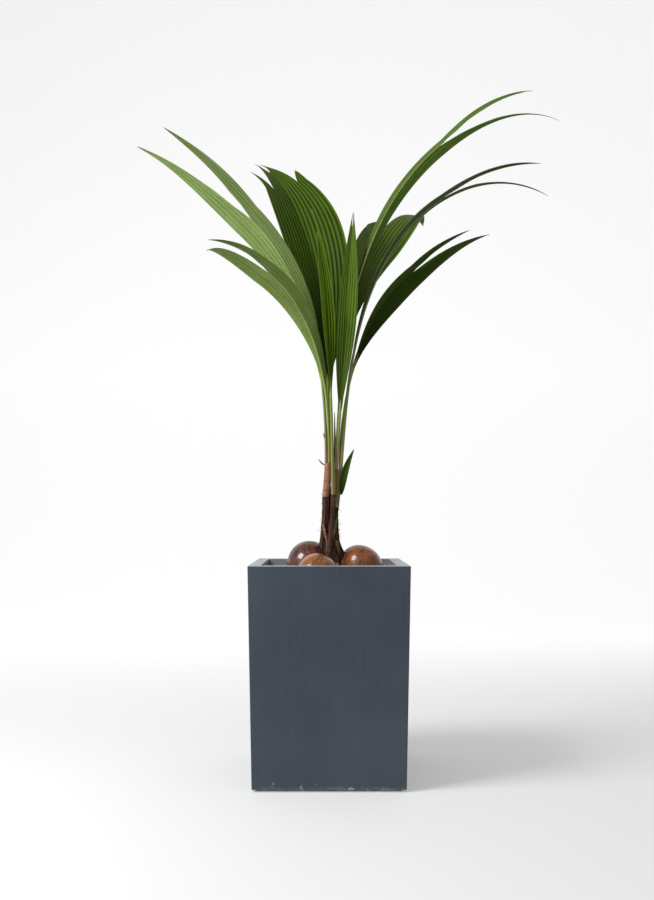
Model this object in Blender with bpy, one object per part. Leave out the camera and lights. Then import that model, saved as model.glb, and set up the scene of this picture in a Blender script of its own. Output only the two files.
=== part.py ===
# Potted coconut palm: three sprouted coconuts in a square planter, with nine undivided young fronds.
# Metres, +Z up, origin on the floor under the middle of the planter. The front of the planter faces -Y.
import math
import random

import bmesh
import bpy
from mathutils import Vector

# Planter
POT_TOP_WIDTH = 0.360
POT_FOOT_WIDTH = 0.343
POT_HEIGHT = 0.500
POT_WALL = 0.027
POT_FLOOR = 0.030
POT_FOOT_INSET = 0.010
POT_FOOT_HEIGHT = 0.005
POT_EDGE = 0.0012

# Potting soil
SOIL_TOP = 0.452
SOIL_SWELL = 0.006
SOIL_CELLS = 8

GAP = 0.0003

# Coconuts: middle of each nut, half sizes along its own axes, turn about Z in degrees
NUT_RINGS = 14
NUT_SIDES = 22
NUT_POINT = 0.12
COCONUTS = {
    "coconut_left": dict(middle=(-0.0435, 0.030, 0.491), half=(0.0585, 0.062, 0.0590), turn=-18),
    "coconut_front": dict(middle=(-0.0260, -0.088, 0.474), half=(0.0480, 0.051, 0.0505), turn=-25),
    "coconut_right": dict(middle=(0.0740, 0.013, 0.487), half=(0.0520, 0.060, 0.0535), turn=24),
}

# Shoots: each stands on its nut, leans and tapers, and ends where its sheath begins
LEFT_JOIN = 0.655
RIGHT_JOIN = 0.630
LEFT_TOP = 0.735
RIGHT_TOP = 0.720
FRONT_TOP = 0.660
SHOOT_SIDES = 16
SHOOTS = {
    "stem_left": dict(nut="coconut_left", foot=(-0.016, 0.014, 0.522), top=(-0.0075, -0.001, LEFT_JOIN),
                      bow=(0.001, -0.002), foot_radius=0.0135, radius=(0.0100, 0.0110),
                      top_radius=(0.0088, 0.0120)),
    "sheath_left": dict(nut=None, foot=(-0.0075, -0.001, LEFT_JOIN + GAP), top=(-0.002, -0.002, LEFT_TOP),
                        bow=(0.001, 0.0), foot_radius=0.0, radius=(0.0096, 0.0128),
                        top_radius=(0.0088, 0.0150)),
    "stem_right": dict(nut="coconut_right", foot=(0.036, 0.004, 0.507), top=(0.0150, 0.000, RIGHT_JOIN),
                       bow=(-0.009, -0.002), foot_radius=0.0135, radius=(0.0103, 0.0115),
                       top_radius=(0.0088, 0.0130)),
    "sheath_right": dict(nut=None, foot=(0.0155, 0.000, RIGHT_JOIN + GAP), top=(0.0215, 0.0005, RIGHT_TOP),
                         bow=(0.001, 0.0), foot_radius=0.0, radius=(0.0092, 0.0140),
                         top_radius=(0.0098, 0.0168)),
    "stem_front": dict(nut="coconut_front", foot=(-0.008, -0.062, 0.502), top=(0.0095, -0.021, FRONT_TOP),
                       bow=(0.001, 0.007), foot_radius=0.0085, radius=(0.0062, 0.0062),
                       top_radius=(0.0050, 0.0050)),
}

# Fronds. Lengths in metres along the blade and angles in degrees. Pairs are for the lobe on the right
# and the lobe on the left of the rib, as seen from the foot with the upper face up.
#   foot           where the stalk starts        heading, swing  compass heading, and its change to the fork
#   stalk          length with no blade          rib             length from the foot to the fork
#   lobes          length past the fork          half_width      widest half of the blade on each side
#   widest         its place along the blade     opening         how slowly the blade widens from the stalk
#   lean_*         angle from upright            bend            how late the lean comes on
#   spread         swing of each lobe            notch           share of the width lost beside the notch
#   fold           rise of each half             turn_*          twist about the rib
FRONDS = {
    "frond_left_high": dict(
        foot=(-0.006, -0.002, LEFT_TOP), heading=222, swing=3, stalk=0.195, rib=0.605, lobes=(0.320, 0.280),
        half_width=(0.052, 0.052), widest=0.60, opening=1.05, lean_foot=1, lean_fork=60,
        lean_tips=(92.5, 61.5),
        bend=1.65, spread=(0, 2), notch=(0.35, 0.40), fold=45, turn_foot=-30, turn_fork=-65,
        turn_tips=(-55, -35)),
    "frond_left_low": dict(
        foot=(0.002, -0.012, LEFT_TOP), heading=228, swing=3, stalk=0.155, rib=0.490, lobes=(0.250, 0.190),
        half_width=(0.044, 0.036), widest=0.55, opening=1.15, lean_foot=0.5, lean_fork=70.5,
        lean_tips=(117, 89.5),
        bend=1.65, spread=(24, -3), notch=(0.10, 0.45), fold=45, turn_foot=0, turn_fork=-60,
        turn_tips=(-55, -40)),
    "frond_back_left": dict(
        foot=(0.001, 0.008, LEFT_TOP), heading=122, swing=3, stalk=0.190, rib=0.860, lobes=(0.065, 0.100),
        half_width=(0.093, 0.083), widest=0.55, opening=1.00, lean_foot=1, lean_fork=54, lean_tips=(54.5, 68),
        bend=1.80, spread=(-2, -7), notch=(0.30, 0.35), fold=20, turn_foot=10, turn_fork=15,
        turn_tips=(15, 10),
        side_strips=(dict(start=0.770, length=0.060, splay=4, droop=6),
                     dict(start=0.735, length=0.085, splay=30, droop=12))),
    "frond_back_right": dict(
        foot=(0.0185, 0.0125, RIGHT_TOP), heading=65, swing=-2, stalk=0.260, rib=0.645, lobes=(0.425, 0.115),
        half_width=(0.078, 0.067), widest=0.60, opening=1.90, lean_foot=5.5, lean_fork=43.5,
        lean_tips=(98.5, 41),
        bend=1.65, spread=(2, 1), notch=(0.10, 0.20), fold=26, turn_foot=-60, turn_fork=-65,
        turn_tips=(-25, -25)),
    "frond_right_high": dict(
        foot=(0.0165, 0.001, RIGHT_TOP), heading=-33, swing=-10, stalk=0.290, rib=0.800, lobes=(0.255, 0.300),
        half_width=(0.036, 0.021), widest=0.65, opening=1.35, lean_foot=3, lean_fork=67, lean_tips=(96, 125),
        bend=2.25, spread=(-9, 8), notch=(0.60, 0.60), fold=45, turn_foot=45, turn_fork=85,
        turn_tips=(45, 40)),
    "frond_right_mid": dict(
        foot=(0.0265, -0.008, RIGHT_TOP), heading=-11, swing=15, stalk=0.250, rib=0.700, lobes=(0.275, 0.285),
        half_width=(0.039, 0.042), widest=0.55, opening=1.05, lean_foot=4.5, lean_fork=55,
        lean_tips=(84, 123),
        bend=2.20, spread=(7, 1), notch=(0.35, 0.40), fold=4, turn_foot=15, turn_fork=0, turn_tips=(20, 5)),
    "frond_right_low": dict(
        foot=(0.0272, 0.004, RIGHT_TOP), heading=26, swing=-3, stalk=0.235, rib=0.540, lobes=(0.265, 0.215),
        half_width=(0.035, 0.035), widest=0.45, opening=1.40, lean_foot=0.5, lean_fork=49,
        lean_tips=(76, 57.5),
        bend=1.30, spread=(1, -1), notch=(0.05, 0.40), fold=35, turn_foot=-70, turn_fork=-110,
        turn_tips=(-80, -80)),
    "frond_spear": dict(
        foot=(0.0165, -0.0115, RIGHT_TOP), heading=-51, swing=8, stalk=0.135, rib=0.560, lobes=(0.040, 0.040),
        half_width=(0.037, 0.021), widest=0.45, opening=0.90, lean_foot=6, lean_fork=5, lean_tips=(9, 8),
        bend=1.80, spread=(0, 0), notch=(0.35, 0.35), fold=31, turn_foot=-110, turn_fork=-120,
        turn_tips=(-115, -115)),
    "frond_front_young": dict(
        foot=(0.0095, -0.021, FRONT_TOP), heading=-126, swing=-3, stalk=0.235, rib=0.585,
        lobes=(0.080, 0.030),
        half_width=(0.021, 0.025), widest=0.45, opening=1.20, lean_foot=1, lean_fork=12.5,
        lean_tips=(27.5, 3.5),
        bend=1.55, spread=(0, 0), notch=(0.35, 0.35), fold=41, turn_foot=110, turn_fork=115,
        turn_tips=(105, 105)),
}
LOBE_BEND = 1.2
LOBE_TAPER = 0.9
STALK_HALF = 0.0046
RIB_THICK = 0.0100
EDGE_THICK = 0.0034
TIP_HALF = 0.0008
TIP_THICK = 0.0010
HALF_CELLS = 4
STRIP_CELL = 3
RIB_ROWS = 14
LOBE_ROWS = 9
STRIP_ROWS = 4
WALK_STEP = 0.008

# Small scale leaf on the right shoot
SCALE_LEAF = dict(foot=(0.0305, -0.0115, 0.660), tip=(0.0590, -0.018, 0.768),
                  half_width=0.0090, thick=0.0028, bow=0.007)
SCALE_ROWS = 8

# Colours are linear red, green, blue
POT_GREY = (0.052, 0.063, 0.076)
SOIL_BROWN = (0.032, 0.020, 0.013)
NUT_PLUM = (0.090, 0.035, 0.025)
NUT_TAN = (0.260, 0.120, 0.050)
NUT_ORANGE = (0.240, 0.095, 0.040)
STEM_BROWN = (0.060, 0.036, 0.024)
SHEATH_PINK = (0.240, 0.140, 0.100)
SHEATH_GREEN = (0.180, 0.140, 0.070)
BLADE_LIGHT = (0.150, 0.250, 0.070)
BLADE_MID = (0.070, 0.150, 0.025)
BLADE_DARK = (0.030, 0.075, 0.010)


def clear_scene():
    for thing in list(bpy.data.objects):
        bpy.data.objects.remove(thing, do_unlink=True)


def finish(name, colour, roughness):
    """A plain material for one sub-part."""
    material = bpy.data.materials.new(name)
    material.use_nodes = True
    shader = material.node_tree.nodes["Principled BSDF"]
    shader.inputs["Base Color"].default_value = (*colour, 1.0)
    shader.inputs["Roughness"].default_value = roughness
    shader.inputs["Metallic"].default_value = 0.0
    material.diffuse_color = (*colour, 1.0)
    return material


def mesh_object(name, bm, material, sharp_angle=None):
    """Turn a bmesh into an object with outward faces, smooth where an angle is given."""
    bmesh.ops.recalc_face_normals(bm, faces=bm.faces[:])
    mesh = bpy.data.meshes.new(name)
    bm.to_mesh(mesh)
    bm.free()
    if sharp_angle is not None:
        mesh.shade_smooth()
        mesh.set_sharp_from_angle(angle=math.radians(sharp_angle))
    mesh.materials.append(material)
    thing = bpy.data.objects.new(name, mesh)
    bpy.context.scene.collection.objects.link(thing)
    return thing


def cut_with(thing, cutter):
    """Cut one object with another, which is kept only as a guide."""
    cutter.hide_render = True
    cutter.display_type = "WIRE"
    cut = thing.modifiers.new("cut_" + cutter.name, "BOOLEAN")
    cut.operation = "DIFFERENCE"
    cut.solver = "EXACT"
    cut.object = cutter


def pot_half_width(z):
    """Half the planter's outer width at a height."""
    share = z / POT_HEIGHT
    return 0.5 * (POT_FOOT_WIDTH + (POT_TOP_WIDTH - POT_FOOT_WIDTH) * share)


def square_ring(bm, half, z):
    corners = ((-1, -1), (1, -1), (1, 1), (-1, 1))
    return [bm.verts.new((x * half, y * half, z)) for x, y in corners]


def join_rings(bm, low, high):
    count = len(low)
    for n in range(count):
        bm.faces.new((low[n], low[(n + 1) % count], high[(n + 1) % count], high[n]))


def build_pot():
    """Tapered square planter with a flat rim, a deep inside and a small set-back foot."""
    bm = bmesh.new()
    foot_half = pot_half_width(0.0) - POT_FOOT_INSET
    rings = [
        square_ring(bm, foot_half, 0.0),
        square_ring(bm, foot_half, POT_FOOT_HEIGHT),
        square_ring(bm, pot_half_width(0.0), POT_FOOT_HEIGHT),
        square_ring(bm, pot_half_width(POT_HEIGHT), POT_HEIGHT),
        square_ring(bm, pot_half_width(POT_HEIGHT) - POT_WALL, POT_HEIGHT),
        square_ring(bm, pot_half_width(POT_FLOOR) - POT_WALL, POT_FLOOR),
    ]
    for low, high in zip(rings[:-1], rings[1:]):
        join_rings(bm, low, high)
    bm.faces.new(rings[0][::-1])
    bm.faces.new(rings[-1])
    pot = mesh_object("pot", bm, finish("pot_grey", POT_GREY, 0.62))
    edge = pot.modifiers.new("worn_edge", "BEVEL")
    edge.width = POT_EDGE
    edge.segments = 2
    edge.limit_method = "ANGLE"
    edge.angle_limit = math.radians(40)
    return pot


def build_soil(cutters):
    """Potting soil that fills the planter, a little uneven on top, hollowed where the nuts lie."""
    rng = random.Random(7)
    bm = bmesh.new()
    low_half = pot_half_width(POT_FLOOR) - POT_WALL - POT_EDGE - GAP
    top_half = pot_half_width(SOIL_TOP) - POT_WALL - 2 * GAP
    grid = {}
    for row in range(SOIL_CELLS + 1):
        for column in range(SOIL_CELLS + 1):
            inner = 0 < row < SOIL_CELLS and 0 < column < SOIL_CELLS
            swell = SOIL_SWELL * rng.random() if inner else 0.0
            x = top_half * (2 * column / SOIL_CELLS - 1)
            y = top_half * (2 * row / SOIL_CELLS - 1)
            grid[row, column] = bm.verts.new((x, y, SOIL_TOP + swell))
    for row in range(SOIL_CELLS):
        for column in range(SOIL_CELLS):
            bm.faces.new((grid[row, column], grid[row, column + 1],
                          grid[row + 1, column + 1], grid[row + 1, column]))
    rim = [grid[0, n] for n in range(SOIL_CELLS)]
    rim += [grid[n, SOIL_CELLS] for n in range(SOIL_CELLS)]
    rim += [grid[SOIL_CELLS, SOIL_CELLS - n] for n in range(SOIL_CELLS)]
    rim += [grid[SOIL_CELLS - n, 0] for n in range(SOIL_CELLS)]
    shrink = low_half / top_half
    floor = [bm.verts.new((v.co.x * shrink, v.co.y * shrink, POT_FLOOR + GAP)) for v in rim]
    join_rings(bm, floor, rim)
    bm.faces.new(floor[::-1])
    soil = mesh_object("soil", bm, finish("soil_brown", SOIL_BROWN, 0.95))
    for cutter in cutters:
        cut_with(soil, cutter)
    return soil


def coconut_mesh(size, grow=0.0):
    """Egg-shaped nut, a little pointed at one end of its long axis, with three blunt edges."""
    bm = bmesh.new()
    rings = []
    for r in range(1, NUT_RINGS):
        along = math.pi * r / NUT_RINGS
        ring = []
        for s in range(NUT_SIDES):
            round_angle = 2 * math.pi * s / NUT_SIDES
            girth = math.sin(along) * (1 + 0.02 * math.cos(3 * round_angle))
            girth *= 1 - NUT_POINT * max(0.0, math.cos(along)) ** 2
            ring.append(bm.verts.new((
                (size["half"][0] + grow) * girth * math.cos(round_angle),
                (size["half"][1] + grow) * math.cos(along),
                (size["half"][2] + grow) * girth * math.sin(round_angle))))
        rings.append(ring)
    for low, high in zip(rings[:-1], rings[1:]):
        join_rings(bm, low, high)
    for ring, end in ((rings[0], 1), (rings[-1], -1)):
        pole = bm.verts.new((0.0, end * (size["half"][1] + grow), 0.0))
        for s in range(NUT_SIDES):
            bm.faces.new((ring[s], ring[(s + 1) % NUT_SIDES], pole))
    return bm


def place_nut(thing, size):
    thing.location = size["middle"]
    thing.rotation_euler = (0.0, 0.0, math.radians(size["turn"]))


def build_coconuts():
    """The three nuts, and for each a slightly larger copy that cuts its neighbours clear."""
    finishes = {
        "coconut_left": finish("nut_plum", NUT_PLUM, 0.28),
        "coconut_front": finish("nut_tan", NUT_TAN, 0.34),
        "coconut_right": finish("nut_orange", NUT_ORANGE, 0.30),
    }
    cutters = {}
    for name, size in COCONUTS.items():
        nut = mesh_object(name, coconut_mesh(size), finishes[name], sharp_angle=40)
        place_nut(nut, size)
        cutter = mesh_object("clear_of_" + name, coconut_mesh(size, grow=2 * GAP), finishes[name])
        place_nut(cutter, size)
        cutters[name] = cutter
    return cutters


def mix(a, b, share):
    return a + (b - a) * share


def build_shoot(name, size, material, cutter):
    """A leaning, tapering shoot or sheath, with a flare where it leaves its nut."""
    rows = 9
    bm = bmesh.new()
    rings = []
    for r in range(rows):
        t = r / (rows - 1)
        z = mix(size["foot"][2], size["top"][2], t)
        sway = math.sin(math.pi * t)
        x = mix(size["foot"][0], size["top"][0], math.sqrt(t)) + size["bow"][0] * sway
        y = mix(size["foot"][1], size["top"][1], math.sqrt(t)) + size["bow"][1] * sway
        if not size["foot_radius"]:
            x = mix(size["foot"][0], size["top"][0], t) + size["bow"][0] * sway
            y = mix(size["foot"][1], size["top"][1], t) + size["bow"][1] * sway
        flare = max(0.0, size["foot_radius"] - size["radius"][0]) * (1 - t) ** 4
        half_x = mix(size["radius"][0], size["top_radius"][0], t) + flare
        half_y = mix(size["radius"][1], size["top_radius"][1], t) + flare
        rings.append([bm.verts.new((x + half_x * math.cos(a), y + half_y * math.sin(a), z))
                      for a in (2 * math.pi * s / SHOOT_SIDES for s in range(SHOOT_SIDES))])
    for low, high in zip(rings[:-1], rings[1:]):
        join_rings(bm, low, high)
    bm.faces.new(rings[0][::-1])
    bm.faces.new(rings[-1])
    shoot = mesh_object(name, bm, material, sharp_angle=50)
    if cutter is not None:
        cut_with(shoot, cutter)
    return shoot


def lean_and_heading(frond, lobe, place):
    """Angle from upright and compass heading, in radians, at a place along the rib and a lobe."""
    on_rib = min(1.0, place / frond["rib"])
    on_lobe = min(1.0, max(0.0, place - frond["rib"]) / frond["lobes"][lobe]) ** LOBE_BEND
    lean = mix(frond["lean_foot"], frond["lean_fork"], on_rib ** frond["bend"])
    lean += (frond["lean_tips"][lobe] - frond["lean_fork"]) * on_lobe
    heading = frond["heading"] + frond["swing"] * on_rib ** 1.5 + frond["spread"][lobe] * on_lobe
    return math.radians(lean), math.radians(heading)


def direction(frond, lobe, place):
    lean, heading = lean_and_heading(frond, lobe, place)
    return Vector((math.sin(lean) * math.cos(heading), math.sin(lean) * math.sin(heading), math.cos(lean)))


def frame_at(frond, lobe, place, point):
    """The blade's directions at a place: along it, out to this lobe's side, and up from its face."""
    heading = lean_and_heading(frond, lobe, place)[1]
    along = direction(frond, lobe, place)
    level = Vector((math.sin(heading), -math.cos(heading), 0.0))
    raised = level.cross(along)
    on_rib = min(1.0, place / frond["rib"])
    on_lobe = min(1.0, max(0.0, place - frond["rib"]) / frond["lobes"][lobe])
    turn = mix(frond["turn_foot"], frond["turn_fork"], on_rib)
    turn = math.radians(turn + (frond["turn_tips"][lobe] - frond["turn_fork"]) * on_lobe)
    across = math.cos(turn) * level + math.sin(turn) * raised
    face = math.cos(turn) * raised - math.sin(turn) * level
    blade = (place - frond["stalk"]) / (frond["rib"] + frond["lobes"][lobe] - frond["stalk"])
    half = frond["half_width"][lobe] * blade_width(frond, blade)
    stalk = STALK_HALF * (1 - 0.8 * on_rib) * (1 - 0.5 * on_lobe)
    width = math.hypot(stalk, half)
    opened = min(1.0, half / (3 * stalk))
    side = 1 if lobe == 0 else -1
    fold = math.radians(frond["fold"]) * opened
    return dict(
        point=point, along=along, across=across, face=face, side=side, stalk=stalk, width=width,
        out=side * math.cos(fold) * across + math.sin(fold) * face,
        up=math.cos(fold) * face - side * math.sin(fold) * across,
        crowd=1 + 0.6 * opened, on_lobe=on_lobe,
        rib=mix(RIB_THICK, 0.65 * RIB_THICK, on_rib) * (1 - 0.6 * on_lobe),
        edge=EDGE_THICK * (1 - 0.6 * on_lobe),
        lost=frond["notch"][lobe] * (1 - (1 - on_lobe) ** 3))


def blade_width(frond, share):
    """Share of the full half width at a share of the blade's length."""
    if share <= 0.0 or share >= 1.0:
        return 0.0
    widest = frond["widest"]
    if share < widest:
        return math.sin(0.5 * math.pi * share / widest) ** frond["opening"]
    return math.cos(0.5 * math.pi * (share - widest) / (1 - widest)) ** LOBE_TAPER


def walk(frond, lobe, places):
    """Follow the rib and one lobe from the foot, and give the frame at each place."""
    point = Vector(frond["foot"]) + Vector((0.0, 0.0, GAP))
    done = 0.0
    frames = []
    for place in places:
        steps = max(1, math.ceil((place - done) / WALK_STEP))
        step = (place - done) / steps
        for n in range(steps):
            point = point + direction(frond, lobe, done + (n + 0.5) * step) * step
        done = place
        frames.append(frame_at(frond, lobe, place, point.copy()))
    return frames


def half_row(bm, frame, cells, inner=0.0):
    """Pairs of top and bottom points from the rib out to the edge of one half."""
    pairs = []
    for n in range(cells + 1):
        share = (n / HALF_CELLS) ** frame["crowd"]
        reach = frame["width"] * mix(inner, 1.0, share)
        thick = frame["edge"] + (frame["rib"] - frame["edge"]) * math.exp(-(reach / frame["stalk"]) ** 2)
        up = frame["face"] if n == 0 and inner == 0.0 else frame["up"]
        middle = frame["point"] + frame["out"] * reach
        pairs.append((bm.verts.new(middle + up * 0.4 * thick), bm.verts.new(middle - up * 0.6 * thick)))
    return pairs


def loft(bm, row, next_row):
    """Skin a slice of blade between two rows of point pairs."""
    for n in range(len(row) - 1):
        bm.faces.new((row[n][0], row[n + 1][0], next_row[n + 1][0], next_row[n][0]))
        bm.faces.new((row[n][1], next_row[n][1], next_row[n + 1][1], row[n + 1][1]))
    bm.faces.new((row[0][0], next_row[0][0], next_row[0][1], row[0][1]))
    bm.faces.new((row[-1][0], row[-1][1], next_row[-1][1], next_row[-1][0]))


def close_row(bm, row):
    for n in range(len(row) - 1):
        bm.faces.new((row[n][0], row[n][1], row[n + 1][1], row[n + 1][0]))


def level_row(row, height):
    """Cut the foot of a stalk level, so it stands clear of the flat top below it."""
    for pair in row:
        for corner in pair:
            corner.co.z = height


def tip_row(bm, middle, across, up, count):
    """The last, blunt row of a lobe or strip."""
    pairs = []
    for n in range(count):
        point = middle + across * TIP_HALF * (2 * n / (count - 1) - 1)
        pairs.append((bm.verts.new(point + up * 0.5 * TIP_THICK), bm.verts.new(point - up * 0.5 * TIP_THICK)))
    return pairs


def loft_strip(bm, frame, start, strip):
    """A strip that splits off the edge of one half and ends in its own point."""
    row = start
    count = len(start)
    low = 0.5 * (start[0][0].co + start[0][1].co)
    high = 0.5 * (start[-1][0].co + start[-1][1].co)
    middle = 0.5 * (low + high)
    half = 0.5 * (high - low).length
    step = strip["length"] / STRIP_ROWS
    for n in range(1, STRIP_ROWS + 1):
        t = n / STRIP_ROWS
        splay = math.radians(strip["splay"] * t)
        droop = math.radians(strip["droop"] * t)
        ahead = frame["along"] * math.cos(splay) + frame["out"] * math.sin(splay)
        across = frame["out"] * math.cos(splay) - frame["along"] * math.sin(splay)
        middle = middle + (ahead * math.cos(droop) - frame["up"] * math.sin(droop)) * step
        if n == STRIP_ROWS:
            next_row = tip_row(bm, middle, across, frame["up"], count)
        else:
            reach = half * (1 - t ** 1.4)
            thick = mix(EDGE_THICK, TIP_THICK, t)
            next_row = []
            for m in range(count):
                point = middle + across * reach * (2 * m / (count - 1) - 1)
                next_row.append((bm.verts.new(point + frame["up"] * 0.4 * thick),
                                 bm.verts.new(point - frame["up"] * 0.6 * thick)))
        loft(bm, row, next_row)
        row = next_row
    close_row(bm, row)


def build_frond(name, frond, material):
    """One closed blade: stalk, rib and both halves up to the fork, then a lobe on each side."""
    bm = bmesh.new()
    strips = frond.get("side_strips", (None, None))
    places = [frond["rib"] * n / RIB_ROWS for n in range(RIB_ROWS + 1)]
    places = sorted(set(places + [strip["start"] for strip in strips if strip]))
    frames = [walk(frond, lobe, places) for lobe in (0, 1)]
    cells = [HALF_CELLS, HALF_CELLS]
    row = None
    for n, place in enumerate(places):
        halves = [half_row(bm, frames[lobe][n], cells[lobe]) for lobe in (0, 1)]
        for spare in halves[1][0]:
            bm.verts.remove(spare)
        halves[1][0] = halves[0][0]
        next_row = halves[1][::-1] + halves[0][1:]
        if row:
            loft(bm, row, next_row)
        else:
            level_row(next_row, frond["foot"][2] + GAP)
            close_row(bm, next_row)
        for lobe, strip in enumerate(strips):
            if strip and strip["start"] == place:
                loft_strip(bm, frames[lobe][n], halves[lobe][STRIP_CELL:], strip)
                halves[lobe] = halves[lobe][:STRIP_CELL + 1]
                cells[lobe] = STRIP_CELL
        row = halves[1][::-1] + halves[0][1:]
    for lobe in (0, 1):
        row = halves[lobe]
        length = frond["lobes"][lobe]
        lobe_places = [frond["rib"] + length * n / LOBE_ROWS for n in range(1, LOBE_ROWS + 1)]
        for n, frame in enumerate(walk(frond, lobe, lobe_places), start=1):
            if n == LOBE_ROWS:
                next_row = tip_row(bm, frame["point"], frame["out"], frame["up"], len(row))
            else:
                next_row = half_row(bm, frame, cells[lobe], frame["lost"])
            loft(bm, row, next_row)
            row = next_row
        close_row(bm, row)
    return mesh_object(name, bm, material, sharp_angle=50)


def build_scale_leaf(material):
    """A short pointed leaf that stands out from the right shoot."""
    bm = bmesh.new()
    foot = Vector(SCALE_LEAF["foot"])
    tip = Vector(SCALE_LEAF["tip"])
    along = (tip - foot).normalized()
    across = along.cross(Vector((0.0, 1.0, 0.0))).normalized()
    up = across.cross(along)
    row = None
    for n in range(SCALE_ROWS + 1):
        t = n / SCALE_ROWS
        middle = foot.lerp(tip, t) + across * SCALE_LEAF["bow"] * math.sin(math.pi * t)
        half = max(TIP_HALF, SCALE_LEAF["half_width"] * math.sin(math.pi * (0.12 + 0.88 * t)) ** 0.9)
        thick = mix(SCALE_LEAF["thick"], TIP_THICK, t)
        next_row = []
        for side in (-1, 0, 1):
            point = middle + across * half * side - up * 0.35 * half * abs(side)
            next_row.append((bm.verts.new(point + up * 0.5 * thick), bm.verts.new(point - up * 0.5 * thick)))
        if row:
            loft(bm, row, next_row)
        else:
            close_row(bm, next_row)
        row = next_row
    close_row(bm, row)
    return mesh_object("scale_leaf", bm, material, sharp_angle=50)


def build():
    clear_scene()
    build_pot()
    cutters = build_coconuts()
    build_soil(cutters.values())
    stem = finish("stem_brown", STEM_BROWN, 0.85)
    sheaths = {"sheath_left": finish("sheath_pink", SHEATH_PINK, 0.70),
               "sheath_right": finish("sheath_green", SHEATH_GREEN, 0.65)}
    for name, size in SHOOTS.items():
        build_shoot(name, size, sheaths.get(name, stem), cutters.get(size["nut"]))
    light = finish("blade_light", BLADE_LIGHT, 0.45)
    middle = finish("blade_mid", BLADE_MID, 0.42)
    dark = finish("blade_dark", BLADE_DARK, 0.38)
    greens = {"frond_left_high": light, "frond_left_low": light, "frond_right_high": middle,
              "frond_front_young": light, "frond_spear": middle}
    for name, frond in FRONDS.items():
        build_frond(name, frond, greens.get(name, dark))
    build_scale_leaf(middle)


build()
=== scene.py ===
import math
import random

import bpy
import numpy as np
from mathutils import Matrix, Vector


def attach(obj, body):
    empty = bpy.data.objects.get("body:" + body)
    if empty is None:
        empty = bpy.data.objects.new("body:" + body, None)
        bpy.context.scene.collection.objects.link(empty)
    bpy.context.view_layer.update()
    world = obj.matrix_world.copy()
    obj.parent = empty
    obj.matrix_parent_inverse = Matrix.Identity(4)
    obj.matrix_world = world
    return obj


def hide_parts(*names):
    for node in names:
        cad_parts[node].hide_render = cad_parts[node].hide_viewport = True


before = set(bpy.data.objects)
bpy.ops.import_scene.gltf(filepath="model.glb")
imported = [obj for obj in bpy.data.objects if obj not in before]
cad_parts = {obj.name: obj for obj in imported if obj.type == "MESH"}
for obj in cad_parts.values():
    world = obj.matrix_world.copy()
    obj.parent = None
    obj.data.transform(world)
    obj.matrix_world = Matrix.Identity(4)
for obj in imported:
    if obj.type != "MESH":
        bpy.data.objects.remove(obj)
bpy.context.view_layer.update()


# Finishes
def linear(part):
    # one part of a screen colour, 0 to 255, as linear light
    return part / 255 / 12.92 if part <= 10 else ((part / 255 + 0.055) / 1.055) ** 2.4


def tone(red, green, blue):
    return (linear(red), linear(green), linear(blue), 1.0)


def mixed(a, b, share):
    return a + (b - a) * share


def mixColour(a, b, share):
    # a share below 0 or above 1 goes past the first or the second colour
    return tuple(min(1.0, max(0.0, mixed(x, y, share))) for x, y in zip(a[:3], b[:3])) + (1.0,)


class Wire:
    # wraps a socket, so that sums on it add Math nodes
    def __init__(self, finish, socket):
        self.finish, self.socket = finish, socket

    def sum(self, operation, first, second=0.0):
        return self.finish.node("Math", {"operation": operation}, {0: first, 1: second})

    def __add__(self, other):
        return self.sum("ADD", self, other)

    def __sub__(self, other):
        return self.sum("SUBTRACT", self, other)

    def __rsub__(self, other):
        return self.sum("SUBTRACT", other, self)

    def __mul__(self, other):
        return self.sum("MULTIPLY", self, other)

    def sine(self):
        return self.sum("SINE", self)

    def unsigned(self):
        return self.sum("ABSOLUTE", self)

    def atLeast(self, low):
        return self.sum("MAXIMUM", self, low)

    __radd__ = __add__
    __rmul__ = __mul__


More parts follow.
